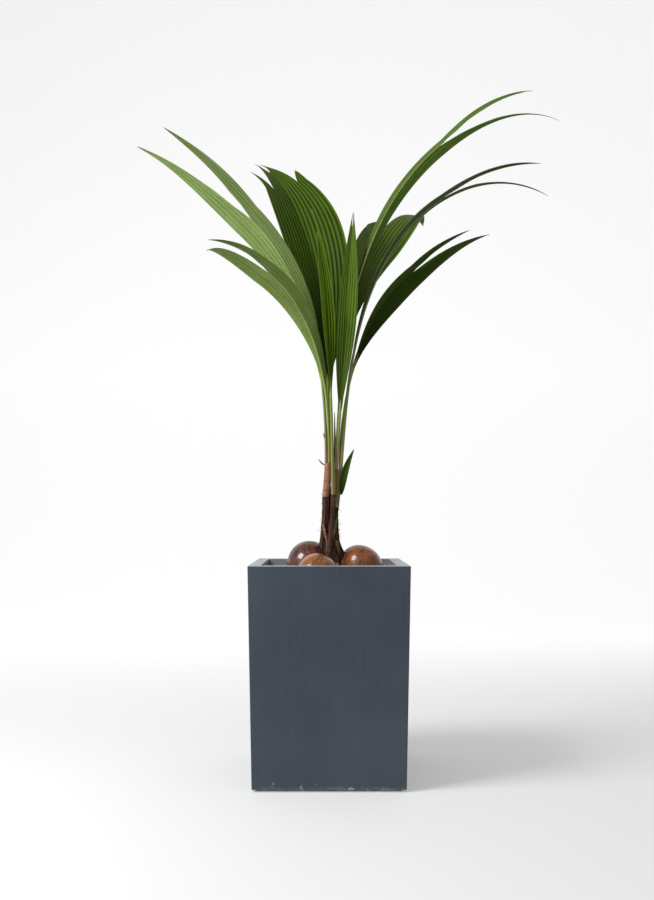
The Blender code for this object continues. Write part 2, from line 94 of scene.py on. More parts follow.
class Finish:
    # one material: a Principled shader and the nodes that feed it
    def __init__(self, name, **constants):
        self.material = bpy.data.materials.new(name)
        self.material.use_nodes = True
        self.tree = self.material.node_tree
        self.shader = self.tree.nodes["Principled BSDF"]
        for socket, value in constants.items():
            self.shader.inputs[socket.replace("_", " ")].default_value = value

    def feed(self, socket, value):
        if isinstance(value, Wire):
            self.tree.links.new(value.socket, socket)
        else:
            socket.default_value = value

    def node(self, kind, settings=None, sockets=None, output=0):
        new = self.tree.nodes.new("ShaderNode" + kind)
        for name, value in (settings or {}).items():
            if name == "stops":
                while len(new.color_ramp.elements) < len(value):
                    new.color_ramp.elements.new(1.0)
                for stop, (place, colour) in zip(new.color_ramp.elements, value):
                    stop.position, stop.color = place, colour
            else:
                setattr(new, name, value)
        for socket, value in (sockets or {}).items():
            self.feed(new.inputs[socket], value)
        return Wire(self, new.outputs[output])

    def place(self, stretch=(1, 1, 1)):
        # Object coordinates, which are metres in the frame
        spot = self.node("TexCoord", output=3)
        return self.node("Mapping", {}, {"Vector": spot, "Scale": stretch})

    def noise(self, scale, detail=3.0, rough=0.5, at=None):
        sockets = {"Vector": at or self.place(), "Scale": scale, "Detail": detail, "Roughness": rough}
        return self.node("TexNoise", {}, sockets)

    def ramp(self, value, stops):
        return self.node("ValToRGB", {"stops": stops}, {"Fac": value})

    def step(self, value, low, high):
        # 0 below low, 1 above high, smooth between
        return self.node("MapRange", {"interpolation_type": "SMOOTHSTEP"},
                         {"Value": value, "From Min": low, "From Max": high})

    def mix(self, share, first, second, blend="MIX"):
        # the Mix node's colour sockets go by number
        settings = {"data_type": "RGBA", "blend_type": blend}
        return self.node("Mix", settings, {0: share, 6: first, 7: second}, output=2)

    def mark(self, name):
        # a number kept on the mesh's points
        return self.node("Attribute", {"attribute_name": name}, output=2)

    def bump(self, height, distance, strength=1.0):
        return self.node("Bump", {}, {"Height": height, "Distance": distance, "Strength": strength})

    def done(self, **inputs):
        for socket, value in inputs.items():
            self.feed(self.shader.inputs[socket.replace("_", " ")], value)
        return self.material


# Modelling
def deselect():
    if bpy.context.object and bpy.context.object.mode != "OBJECT":
        bpy.ops.object.mode_set(mode="OBJECT")
    bpy.ops.object.select_all(action="DESELECT")


def grid(name, columns, rows):
    deselect()
    bpy.ops.mesh.primitive_grid_add(x_subdivisions=columns, y_subdivisions=rows, size=1)
    sheet = bpy.context.object
    sheet.name = name
    return sheet


def cells(sheet, columns, rows):
    # which column and row each point of a fresh grid is in
    spots = np.empty(len(sheet.data.vertices) * 3, dtype=np.float32)
    sheet.data.vertices.foreach_get("co", spots)
    spots = spots.reshape(-1, 3)
    column = np.rint((spots[:, 0] + 0.5) * columns).astype(int)
    row = np.rint((spots[:, 1] + 0.5) * rows).astype(int)
    return row, column


def layOut(sheet, columns, rows, points, marks=None):
    # moves the grid's points to points[row, column] and keeps marks[name][row, column] on them
    row, column = cells(sheet, columns, rows)
    sheet.data.vertices.foreach_set("co", points[row, column].astype(np.float32).ravel())
    for name, values in (marks or {}).items():
        layer = sheet.data.attributes.new(name, "FLOAT", "POINT")
        layer.data.foreach_set("value", values[row, column].astype(np.float32))
    sheet.data.update()


def select(*things):
    deselect()
    for thing in things:
        thing.select_set(True)
    bpy.context.view_layer.objects.active = things[0]


def join(name, things):
    select(*things)
    if len(things) > 1:
        bpy.ops.object.join()
    piece = bpy.context.object
    piece.name = name
    piece.data.name = name
    return piece


def weld(piece, reach=0.00005, fill=False, outward=False):
    select(piece)
    bpy.ops.object.mode_set(mode="EDIT")
    bpy.ops.mesh.select_all(action="SELECT")
    bpy.ops.mesh.remove_doubles(threshold=reach)
    if fill:
        bpy.ops.mesh.fill_holes(sides=0)
    if outward:
        bpy.ops.mesh.select_all(action="SELECT")
        bpy.ops.mesh.normals_make_consistent(inside=False)
    bpy.ops.object.mode_set(mode="OBJECT")


def soften(piece, degrees=50):
    select(piece)
    bpy.ops.object.shade_smooth_by_angle(angle=math.radians(degrees))


def apply(piece, kind, **settings):
    select(piece)
    change = piece.modifiers.new(kind.lower(), kind)
    for name, value in settings.items():
        setattr(change, name, value)
    bpy.ops.object.modifier_apply(modifier=change.name)


def finishWith(piece, *materials):
    piece.data.materials.clear()
    for material in materials:
        piece.data.materials.append(material)


def settle(piece, slot, *nodes):
    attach(piece, "root")
    if nodes:
        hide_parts(*nodes)


def tube(name, path, around, sides, marks=None):
    # a closed skin round a path: path[row] and around[row, side] are places and offsets
    rows = len(path) - 1
    skin = grid(name, sides, rows)
    points = path[:, None, :] + around[:, list(range(sides)) + [0], :]
    layOut(skin, sides, rows, points, marks)
    weld(skin, 0.00001, fill=True, outward=True)
    return skin


# Planter
# the pale foot tone is painted bounce light from the floor, and the inner tone is painted light on the rim
# and inside
planter = dict(height=0.5, inside=0.153, footBounceHeight=0.030, footBounceWaver=0.028,
               body=tone(50, 58, 68), cloud=tone(58, 67, 78), streak=tone(84, 92, 102),
               mottle=tone(48, 54, 62), footBounceLight=tone(120, 128, 138), inner=tone(146, 149, 157),
               chip=tone(150, 152, 154))


def planterFinish():
    paint = Finish("slateFibreCement", Specular_IOR_Level=0.35)
    spot = paint.place()
    wide, deep, high = (paint.node("SeparateXYZ", {}, {0: spot}, output=n) for n in range(3))
    out = wide.unsigned().atLeast(deep.unsigned())
    cloud = paint.noise(4.0, 4.0, 0.55)
    mottle = paint.noise(60.0, 5.0, 0.65)
    streak = paint.noise(1.0, 3.0, 0.6, at=paint.place((150.0, 150.0, 2.2)))
    body = paint.mix(paint.step(cloud, 0.35, 0.68), planter["body"], planter["cloud"])
    body = paint.mix(0.07 * paint.step(streak, 0.42, 0.72), body, planter["streak"])
    body = paint.mix(0.18 * paint.step(mottle, 0.5, 0.75), body, planter["mottle"])
    # painted bounce light: paler in a wavering band along the foot; painted light: paler on the rim and
    # inside it
    waver = planter["footBounceHeight"] + planter["footBounceWaver"] * paint.noise(22.0, 4.0, 0.7)
    footBounceLight = paint.step(waver - high, 0.028, 0.044)
    body = paint.mix(0.35 * footBounceLight, body, planter["footBounceLight"])
    # painted light: the rim top and the walls inside it take the pale inner tone for the lamp light on them
    rim = paint.step(high, planter["height"] - 0.0014, planter["height"] - 0.0004)
    pale = (1.0 - paint.step(out, planter["inside"] - 0.0005, planter["inside"] + 0.0010)).atLeast(rim)
    body = paint.mix(0.85 * pale, body, planter["inner"])
    chip = paint.step(paint.noise(75.0, 3.0, 0.6) - high * 9.0, 0.50, 0.56)
    body = paint.mix(0.6 * chip, body, planter["chip"])
    rough = 0.34 + 0.10 * mottle
    grain = paint.noise(420.0, 4.0, 0.6)
    return paint.done(Base_Color=body, Roughness=rough, Normal=paint.bump(grain + 0.3 * streak, 0.0003, 0.3))


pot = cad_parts["pot"]
finishWith(pot, planterFinish())
print("planter finished")


# Soil
soil = dict(top=0.452, half=0.1516, depth=0.05, cells=150, swell=0.010, ripples=14,
            waves=((4, 0.5), (9, 0.35), (24, 0.3)), clodCount=420, clodSizes=(0.002, 0.005),
            crumbs=((0.3, tone(26, 19, 15)), (0.55, tone(58, 43, 33)), (0.78, tone(98, 78, 60))),
            damp=tone(30, 22, 18), fleck=tone(176, 150, 118))


def soilFinish():
    paint = Finish("pottingSoil", Specular_IOR_Level=0.2)
    crumb = paint.noise(190.0, 6.0, 0.7)
    damp = paint.noise(14.0, 3.0, 0.5)
    fleck = paint.node("TexVoronoi", {"feature": "F1"}, {"Vector": paint.place(), "Scale": 160.0})
    body = paint.ramp(crumb, soil["crumbs"])
    body = paint.mix(0.45 * paint.step(damp, 0.4, 0.65), body, soil["damp"], "MULTIPLY")
    body = paint.mix(0.8 * paint.step(0.16 - fleck, 0.0, 0.05), body, soil["fleck"])
    return paint.done(Base_Color=body, Roughness=0.75 + 0.2 * crumb, Normal=paint.bump(crumb, 0.003, 0.9))


def makeSoil():
    count = soil["cells"]
    sheet = grid("soil_bed", count, count)
    rng = np.random.default_rng(3)
    spread = np.linspace(-soil["half"], soil["half"], count + 1)
    x, y = np.meshgrid(spread, spread)
    z = np.zeros_like(x)
    for waves, size in soil["waves"]:
        for _ in range(soil["ripples"]):
            turn, start = rng.uniform(0, 2 * math.pi, 2)
            pitch = waves * rng.uniform(0.7, 1.4) * math.pi / soil["half"] / 2
            across = x * math.cos(turn) + y * math.sin(turn)
            z += size * np.sin(pitch * across + start) / soil["ripples"] ** 0.5
    z = soil["top"] + soil["swell"] * 0.35 * z
    for _ in range(soil["clodCount"]):
        cx, cy = rng.uniform(-0.95, 0.95, 2) * soil["half"]
        size = rng.uniform(*soil["clodSizes"])
        away = np.hypot(x - cx, (y - cy) * rng.uniform(0.7, 1.4))
        z += 0.55 * size * np.clip(1 - (away / size / 1.6) ** 2, 0, 1)
    layOut(sheet, count, count, np.dstack([x, y, z]))
    bpy.ops.object.mode_set(mode="EDIT")
    bpy.ops.mesh.select_all(action="SELECT")
    bpy.ops.mesh.extrude_region_move(TRANSFORM_OT_translate={"value": (0, 0, -soil["depth"])})
    bpy.ops.mesh.select_all(action="SELECT")
    bpy.ops.mesh.normals_make_consistent(inside=False)
    bpy.ops.object.mode_set(mode="OBJECT")
    soften(sheet, 60)
    finishWith(sheet, soilFinish())
    settle(sheet, "soil_brown", "soil")


makeSoil()
print("soil laid")


# Coconuts
nuts = {
    # middle and half sizes in metres, turn in degrees round Z
    "left": dict(
        middle=(-0.0435, 0.030, 0.491), half=(0.0585, 0.062, 0.0590), turn=-18, seed=1.0, slot="nut_plum",
        dark=tone(38, 20, 22), body=tone(86, 42, 34), light=tone(124, 70, 48), moss=1.0),
    "front": dict(
        middle=(-0.0260, -0.088, 0.474), half=(0.0480, 0.051, 0.0505), turn=-25, seed=2.0, slot="nut_tan",
        dark=tone(84, 46, 20), body=tone(146, 86, 38), light=tone(184, 124, 70), moss=0.0),
    "right": dict(
        middle=(0.0740, 0.013, 0.487), half=(0.0520, 0.060, 0.0535), turn=24, seed=3.0, slot="nut_orange",
        dark=tone(48, 24, 16), body=tone(122, 64, 32), light=tone(158, 96, 54), moss=0.6),
}
husk = dict(segments=96, rings=64, dents=16, dentDepths=(-0.02, 0.012), dentTightness=26, corners=0.02,
            taper=0.12, moss=tone(86, 84, 44))


def nutFinish(name, nut):
    paint = Finish("husk_" + name, Specular_IOR_Level=0.2, Coat_Roughness=0.10)
    place = paint.node("TexCoord", output=3)
    spot = paint.node("Mapping", {}, {"Vector": place, "Location": (nut["seed"], 0.0, 0.0)})
    patch = paint.noise(22.0, 4.0, 0.6, at=spot)
    run = paint.noise(1.0, 4.0, 0.65, at=paint.place((160.0, 160.0, 22.0)))
    body = paint.mix(paint.step(patch, 0.34, 0.66), nut["dark"], nut["body"])
    body = paint.mix(0.75 * paint.step(run, 0.45, 0.72), body, nut["light"])
    speck = paint.noise(150.0, 3.0, 0.6)
    body = paint.mix(0.6 * paint.step(speck, 0.60, 0.70), body, nut["dark"])
    moss = paint.step(paint.noise(34.0, 4.0, 0.65, at=spot), 0.50, 0.62) * nut["moss"]
    body = paint.mix(moss * 0.7, body, husk["moss"])
    rough = 0.24 + 0.22 * patch + 0.2 * moss
    grain = paint.bump(run + 0.5 * speck, 0.0008, 0.5)
    return paint.done(Base_Color=body, Roughness=rough, Coat_Weight=0.6 - 0.45 * moss, Normal=grain)


def makeNut(name, nut):
    deselect()
    bpy.ops.mesh.primitive_uv_sphere_add(segments=husk["segments"], ring_count=husk["rings"], radius=1)
    shell = bpy.context.object
    shell.name = "coconut_husk_" + name
    rng = random.Random(int(nut["seed"]))
    dents = []
    for _ in range(husk["dents"]):
        dent = Vector([rng.gauss(0, 1) for _ in range(3)]).normalized()
        dents.append((dent, rng.uniform(*husk["dentDepths"])))
    wide, long, high = nut["half"]
    for point in shell.data.vertices:
        way = point.co.normalized()
        across, along, up = way.x, way.z, way.y
        turn = math.atan2(up, across)
        girth = 1 + husk["corners"] * math.cos(3 * turn) * (1 - along * along)
        girth *= 1 - husk["taper"] * max(0.0, along) ** 3
        swell = sum(size * math.exp(-(1 - way.dot(dent)) * husk["dentTightness"]) for dent, size in dents)
        reach = girth * (1 + swell)
        point.co = (wide * across * reach, long * along * (1 + swell), high * up * reach)
    shell.rotation_euler = (0, 0, math.radians(nut["turn"]))
    shell.location = nut["middle"]
    select(shell)
    bpy.ops.object.transform_apply(location=True, rotation=True, scale=True)
    weld(shell, outward=True)
    soften(shell, 80)
    finishWith(shell, nutFinish(name, nut))
    settle(shell, nut["slot"], "coconut_" + name)


for name, nut in nuts.items():
    makeNut(name, nut)
print("coconuts made")


# Shoots and sheaths
shoots = {
    "stem_left": dict(
        foot=(-0.016, 0.014, 0.522), top=(-0.0075, -0.001, 0.655), bow=(0.001, -0.002), flare=0.0135, ribs=9,
        footHalf=(0.0100, 0.0110), topHalf=(0.0088, 0.0120), relief=0.0012, look="fibre", slot="stem_brown"),
    "sheath_left": dict(
        foot=(-0.0075, -0.001, 0.6553), top=(-0.002, -0.002, 0.735), bow=(0.001, 0.0), flare=0, ribs=3,
        footHalf=(0.0096, 0.0128), topHalf=(0.0088, 0.0150), relief=0.0004, look="paper", slot="sheath_pink"),
    "stem_right": dict(
        foot=(0.036, 0.004, 0.507), top=(0.0150, 0.000, 0.630), bow=(-0.009, -0.002), flare=0.0135, ribs=10,
        footHalf=(0.0103, 0.0115), topHalf=(0.0088, 0.0130), relief=0.0012, look="fibre", slot="stem_brown"),
    "sheath_right": dict(
        foot=(0.0155, 0.000, 0.6303), top=(0.0215, 0.0005, 0.720), bow=(0.001, 0.0), flare=0, ribs=4,
        footHalf=(0.0092, 0.0140), topHalf=(0.0098, 0.0168), relief=0.0007, look="stalks",
        slot="sheath_green"),
    "stem_front": dict(
        foot=(-0.008, -0.062, 0.502), top=(0.0095, -0.021, 0.660), bow=(0.001, 0.007), flare=0.0085, ribs=6,
        footHalf=(0.0062, 0.0062), topHalf=(0.0050, 0.0050), relief=0.0006, look="fibre", slot="stem_brown"),
    "fibre_wrap": dict(
        foot=(0.0055, 0.006, 0.498), top=(0.0045, 0.003, 0.668), bow=(-0.002, 0.0), flare=0.030, ribs=15,
        footHalf=(0.0235, 0.0140), topHalf=(0.0155, 0.0098), relief=0.0021, look="fibre", slot="stem_brown",
        ragged=0.016),
}
bark = dict(rows=90, sides=48, waves=24, sink=0.6)
shootTones = {
    "fibre": dict(runs=((0.34, tone(20, 12, 9)), (0.50, tone(54, 33, 23)), (0.70, tone(104, 68, 46))),
                  patch=tone(78, 88, 30)),
    # the paper fold tone is painted shade in the sheath's creases
    "paper": dict(runs=((0.3, tone(112, 74, 56)), (0.55, tone(150, 104, 82)), (0.8, tone(184, 142, 116))),
                  fold=tone(84, 54, 42)),
    "stalks": dict(runs=((0.28, tone(48, 34, 22)), (0.45, tone(98, 74, 46)), (0.6, tone(96, 104, 44)),
                         (0.8, tone(168, 140, 108)))),
}


def fibreFinish():
    paint = Finish("brownFibre", Specular_IOR_Level=0.25)
    run = paint.noise(1.0, 5.0, 0.7, at=paint.place((330.0, 330.0, 26.0)))
    patch = paint.noise(30.0, 4.0, 0.6)
    body = paint.ramp(run, shootTones["fibre"]["runs"])
    body = paint.mix(0.55 * paint.step(patch, 0.60, 0.70), body, shootTones["fibre"]["patch"])
    return paint.done(Base_Color=body, Roughness=0.7 + 0.25 * run, Normal=paint.bump(run, 0.0016, 0.9))


def paperFinish():
    paint = Finish("paperSheath", Specular_IOR_Level=0.3)
    run = paint.noise(1.0, 4.0, 0.65, at=paint.place((260.0, 260.0, 18.0)))
    fold = paint.noise(1.0, 3.0, 0.5, at=paint.place((60.0, 60.0, 420.0)))
    body = paint.ramp(run, shootTones["paper"]["runs"])
    # painted shade: the fold lines are darkened to deepen the wrinkles' creases
    body = paint.mix(0.8 * paint.step(fold, 0.54, 0.62), body, shootTones["paper"]["fold"])
    return paint.done(Base_Color=body, Roughness=0.55 + 0.2 * run, Normal=paint.bump(run - fold, 0.001, 0.8))


def stalksFinish():
    paint = Finish("stalkSheath", Specular_IOR_Level=0.35)
    run = paint.noise(1.0, 4.0, 0.65, at=paint.place((210.0, 210.0, 9.0)))
    body = paint.ramp(run, shootTones["stalks"]["runs"])
    return paint.done(Base_Color=body, Roughness=0.5 + 0.2 * run, Normal=paint.bump(run, 0.001, 0.7))


shootFinishes = {"fibre": fibreFinish(), "paper": paperFinish(), "stalks": stalksFinish()}


def makeShoot(name, shoot):
    rows, sides, waves = bark["rows"], bark["sides"], bark["waves"]
    t = np.linspace(0, 1, rows + 1)
    side = 2 * math.pi * np.arange(sides) / sides
    blend = np.sqrt(t) if shoot["flare"] else t
    path = np.empty((rows + 1, 3))
    for axis in (0, 1):
        path[:, axis] = shoot["foot"][axis] + (shoot["top"][axis] - shoot["foot"][axis]) * blend
        path[:, axis] += shoot["bow"][axis] * np.sin(math.pi * t)
    path[:, 2] = shoot["foot"][2] + (shoot["top"][2] - shoot["foot"][2]) * t
    flare = max(0.0, shoot["flare"] - shoot["footHalf"][0]) * (1 - t) ** 4
    rng = np.random.default_rng(len(name) + shoot["ribs"])
    relief = np.zeros((rows + 1, sides))
    for _ in range(waves):
        count = rng.integers(2, shoot["ribs"] * 2)
        drift, start = rng.uniform(-3, 3), rng.uniform(0, 2 * math.pi)
        relief += np.sin(count * side[None, :] + drift * t[:, None] + start) / waves ** 0.5
        few, fast = rng.integers(1, 4), rng.uniform(12, 60)
        relief += 0.35 * np.sin(few * side[None, :] + fast * t[:, None] + start) / waves ** 0.5
    around = np.zeros((rows + 1, sides, 3))
    for axis, wave in ((0, np.cos(side)), (1, np.sin(side))):
        half = shoot["footHalf"][axis] + (shoot["topHalf"][axis] - shoot["footHalf"][axis]) * t + flare
        around[:, :, axis] = (half[:, None] + shoot["relief"] * (relief - bark["sink"])) * wave[None, :]
    torn = shoot.get("ragged", 0.0) * np.sin(3 * side + 1) * np.cos(7 * side)
    around[:, :, 2] = t[:, None] ** 6 * torn[None, :]
    skin = tube(name + "_bark", path, around, sides)
    soften(skin, 70)
    finishWith(skin, shootFinishes[shoot["look"]])
    replaced = [name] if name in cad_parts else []  # the fibre wrap has no solid of its own
    settle(skin, shoot["slot"], *replaced)


remnants = {
    # dry ends of old sheaths: places along each, its half width and how deep it is beside that
    "twig_low": dict(
        path=((-0.0110, -0.008, 0.7310), (-0.0165, -0.011, 0.7345), (-0.0215, -0.012, 0.7395),
              (-0.0250, -0.012, 0.7450)), half=0.0016, deep=0.6, tilt=0.8, look="paper", slot="sheath_pink"),
    "twig_high": dict(
        path=((-0.0092, -0.006, 0.7930), (-0.0112, -0.008, 0.7990), (-0.0140, -0.009, 0.8080)),
        half=0.0016, deep=0.6, tilt=0.8, look="paper", slot="sheath_pink"),
    "sheath_strip": dict(
        path=((0.0165, 0.006, 0.650), (0.0150, 0.008, 0.720), (0.0140, 0.009, 0.790), (0.0135, 0.009, 0.858)),
        half=0.0030, deep=0.5, tilt=0.0, look="fibre", slot="stem_brown"),
    "loose_strip": dict(
        path=((-0.0150, -0.014, 0.592), (-0.0095, -0.019, 0.570), (-0.0050, -0.020, 0.548),
              (-0.0062, -0.018, 0.524)), half=0.0026, deep=0.3, tilt=0.0, look="paper", slot="sheath_pink"),
    "green_patch": dict(
        path=((0.0160, -0.010, 0.606), (0.0150, -0.0135, 0.590), (0.0135, -0.0155, 0.572),
              (0.0120, -0.0150, 0.562)), half=0.0036, deep=0.4, tilt=0.0, look="stalks", slot="stem_brown"),
    "green_foot": dict(
        path=((0.0190, -0.015, 0.552), (0.0215, -0.018, 0.535), (0.0260, -0.018, 0.520)),
        half=0.0034, deep=0.4, tilt=0.0, look="stalks", slot="stem_brown"),
}


def makeRemnant(name, remnant):
    rows, sides = 16, 10
    marks = np.linspace(0, 1, len(remnant["path"]))
    t = np.linspace(0, 1, rows + 1)
    path = np.stack([np.interp(t, marks, [spot[axis] for spot in remnant["path"]]) for axis in range(3)], 1)
    for _ in range(3):
        path[1:-1] = 0.5 * path[1:-1] + 0.25 * (path[:-2] + path[2:])
    turn = 2 * math.pi * np.arange(sides) / sides
    half = remnant["half"] * (1 - 0.75 * t ** 3) * np.minimum(1, 0.4 + 5 * t)
    around = np.zeros((rows + 1, sides, 3))
    around[:, :, 0] = half[:, None] * np.cos(turn)[None, :]
    around[:, :, 1] = half[:, None] * remnant["deep"] * np.sin(turn)[None, :]
    around[:, :, 2] = half[:, None] * np.cos(turn)[None, :] * remnant["tilt"]
    skin = tube(name, path, around, sides)
    soften(skin, 60)
    finishWith(skin, shootFinishes[remnant["look"]])
    settle(skin, remnant["slot"])


hairs = dict(count=150, low=0.505, high=0.668, bunching=1.3, left=-0.021, right=0.028, behind=0.004,
             depth=0.016, flat=0.8, narrow=0.72, fall=0.16, sunk=0.002, curl=0.35, length=(0.006, 0.018),
             steps=5, thick=0.00045, thin=0.15, corners=(0, 2.094, 4.189))


def growHair(spot, way, curl, step):
    # one fibre, three-sided and thinner towards its end
    path = [spot - way * hairs["sunk"]]
    for _ in range(hairs["steps"]):
        way = (way + curl * 0.4).normalized()
        path.append(path[-1] + way * step)
    thick = np.linspace(1.0, hairs["thin"], len(path))[:, None, None] * hairs["thick"]
    side = way.orthogonal().normalized()
    ring = [list(side * math.cos(a) + way.cross(side) * math.sin(a)) for a in hairs["corners"]]
    return tube("fibre", np.array([list(p) for p in path]), thick * np.array(ring)[None, :, :], 3)


def makeHairs():
    # loose fibres that stand off the wrapped shoots
    rng = random.Random(11)
    strands = []
    middle = 0.5 * (hairs["left"] + hairs["right"])
    for _ in range(hairs["count"]):
        turn = rng.uniform(0, 2 * math.pi)
        height = mixed(hairs["low"], hairs["high"], rng.random() ** hairs["bunching"])
        narrowing = mixed(1.0, hairs["narrow"], (height - hairs["low"]) / hairs["fall"])
        reach = 0.5 * (hairs["right"] - hairs["left"]) * narrowing
        deep = hairs["behind"] + hairs["depth"] * math.sin(turn) * hairs["flat"]
        spot = Vector((middle + reach * math.cos(turn), deep, height))
        way = Vector((math.cos(turn) * 0.5, math.sin(turn) * 0.4, rng.uniform(-1.1, 1.4))).normalized()
        curl = Vector((rng.uniform(-1, 1), rng.uniform(-1, 1), rng.uniform(-0.6, 0.9))) * hairs["curl"]
        strands.append(growHair(spot, way, curl, rng.uniform(*hairs["length"]) / hairs["steps"]))
    bunch = join("loose_fibres", strands)
    soften(bunch, 70)
    finishWith(bunch, shootFinishes["fibre"])
    settle(bunch, "stem_brown")


for name, shoot in shoots.items():
    makeShoot(name, shoot)
makeHairs()
for name, remnant in remnants.items():
    makeRemnant(name, remnant)
print("shoots made")


# Fronds
leftTop = shoots["sheath_left"]["top"][2]
rightTop = shoots["sheath_right"]["top"][2]
frontTop = shoots["stem_front"]["top"][2]
fronds = {
    # in degrees: lean is from upright, heading is round Z and turn is about the rib
    # two values are for the two lobes of the blade
    "left_high": dict(
        foot=(-0.006, -0.002, leftTop), heading=222, swing=3, stalk=0.195, rib=0.605, lobes=(0.320, 0.280),
        halfWidth=(0.052, 0.052), widest=0.60, opening=1.05, pleats=4.0, leanFoot=1, leanFork=60,
        leanTips=(92.5, 61.5), bend=1.65, spread=(0, 2), notch=(0.35, 0.40), fold=45, turnFoot=-30,
        turnFork=-65, turnTips=(-55, -35)),
    "left_low": dict(
        foot=(0.002, -0.012, leftTop), heading=228, swing=3, stalk=0.155, rib=0.490, lobes=(0.250, 0.190),
        halfWidth=(0.044, 0.036), widest=0.55, opening=1.15, pleats=4.5, leanFoot=0.5, leanFork=70.5,
        leanTips=(117, 89.5), bend=1.65, spread=(24, -3), notch=(0.10, 0.45), fold=45, turnFoot=0,
        turnFork=-60, turnTips=(-55, -40)),
    "back_left": dict(
        foot=(0.001, 0.008, leftTop), heading=122, swing=3, stalk=0.190, rib=0.860, lobes=(0.065, 0.100),
        halfWidth=(0.093, 0.083), widest=0.55, opening=1.00, pleats=7.5, leanFoot=1, leanFork=54,
        leanTips=(54.5, 68), bend=1.80, spread=(-2, -7), notch=(0.30, 0.35), fold=20, turnFoot=10,
        turnFork=15, turnTips=(15, 10),
        sideStrips=(dict(start=0.770, length=0.060, splay=4, droop=6),
                    dict(start=0.735, length=0.085, splay=30, droop=12))),
    "back_right": dict(
        foot=(0.0185, 0.0125, rightTop), heading=65, swing=-2, stalk=0.260, rib=0.645, lobes=(0.425, 0.115),
        halfWidth=(0.078, 0.067), widest=0.60, opening=1.90, pleats=7.5, leanFoot=5.5, leanFork=43.5,
        leanTips=(98.5, 41), bend=1.65, spread=(2, 1), notch=(0.10, 0.20), fold=26, turnFoot=-60,
        turnFork=-65, turnTips=(-25, -25)),
    "right_high": dict(
        foot=(0.0165, 0.001, rightTop), heading=-33, swing=-10, stalk=0.290, rib=0.800,
        lobes=(0.255, 0.300), halfWidth=(0.036, 0.021), widest=0.65, opening=1.35, pleats=3.5, leanFoot=3,
        leanFork=67, leanTips=(96, 125), bend=2.25, spread=(-9, 8), notch=(0.60, 0.60), fold=45,
        turnFoot=45, turnFork=85, turnTips=(45, 40)),
    "right_mid": dict(
        foot=(0.0265, -0.008, rightTop), heading=-11, swing=15, stalk=0.250, rib=0.700,
        lobes=(0.275, 0.285), halfWidth=(0.039, 0.042), widest=0.55, opening=1.05, pleats=3.5, leanFoot=4.5,
        leanFork=55, leanTips=(84, 123), bend=2.20, spread=(7, 1), notch=(0.35, 0.40), fold=4, turnFoot=15,
        turnFork=0, turnTips=(20, 5)),
    "right_low": dict(
        foot=(0.0272, 0.004, rightTop), heading=26, swing=-3, stalk=0.235, rib=0.540, lobes=(0.265, 0.215),
        halfWidth=(0.035, 0.035), widest=0.45, opening=1.40, pleats=5.0, leanFoot=0.5, leanFork=49,
        leanTips=(76, 57.5), bend=1.30, spread=(1, -1), notch=(0.05, 0.40), fold=35, turnFoot=-70,
        turnFork=-110, turnTips=(-80, -80)),
    "spear": dict(
        foot=(0.0165, -0.0115, rightTop), heading=-51, swing=8, stalk=0.135, rib=0.560,
        lobes=(0.040, 0.040), halfWidth=(0.037, 0.021), widest=0.45, opening=0.90, pleats=3.0, leanFoot=6,
        leanFork=5, leanTips=(9, 8), bend=1.80, spread=(0, 0), notch=(0.35, 0.35), fold=31, turnFoot=-110,
        turnFork=-120, turnTips=(-115, -115)),
    "front_young": dict(
        foot=(0.0095, -0.021, frontTop), heading=-126, swing=-3, stalk=0.235, rib=0.585,
        lobes=(0.080, 0.030), halfWidth=(0.021, 0.025), widest=0.45, opening=1.20, pleats=2.5, leanFoot=1,
        leanFork=12.5, leanTips=(27.5, 3.5), bend=1.55, spread=(0, 0), notch=(0.35, 0.35), fold=41,
        turnFoot=110, turnFork=115, turnTips=(105, 105)),
}
# newPleats more pleats leave the rib on the way to the tip
blade = dict(lobeBend=1.2, taper=0.9, stalkHalf=0.0046, thick=0.0009, columns=42, rowStep=0.008,
             walkStep=0.004, newPleats=1.5, pleatDepth=0.15, waver=0.0022, waves=4, waveRates=(9, 26),
             waveSizes=(0.4, 1.0), lift=0.0004, start=0.004, tipShort=0.0015, stripFrom=0.631, stripRows=12)
gap = 0.0003  # between a stalk's foot and the sheath it stands on
slack = 1e-6  # for comparing places along a frond


def leanAndHeading(frond, lobe, place):
    # place is a length along the rib and on along one lobe
    onRib = min(1.0, place / frond["rib"])
    onLobe = min(1.0, max(0.0, place - frond["rib"]) / frond["lobes"][lobe]) ** blade["lobeBend"]
    lean = mixed(frond["leanFoot"], frond["leanFork"], onRib ** frond["bend"])
    lean += (frond["leanTips"][lobe] - frond["leanFork"]) * onLobe
    heading = frond["heading"] + frond["swing"] * onRib ** 1.5 + frond["spread"][lobe] * onLobe
    return math.radians(lean), math.radians(heading)


def direction(frond, lobe, place):
    lean, heading = leanAndHeading(frond, lobe, place)
    return Vector((math.sin(lean) * math.cos(heading), math.sin(lean) * math.sin(heading), math.cos(lean)))


def bladeWidth(frond, share):
    # 1 where the blade is widest, 0 at its foot and tip
    if share <= 0.0 or share >= 1.0:
        return 0.0
    if share < frond["widest"]:
        return math.sin(0.5 * math.pi * share / frond["widest"]) ** frond["opening"]
    return math.cos(0.5 * math.pi * (share - frond["widest"]) / (1 - frond["widest"])) ** blade["taper"]


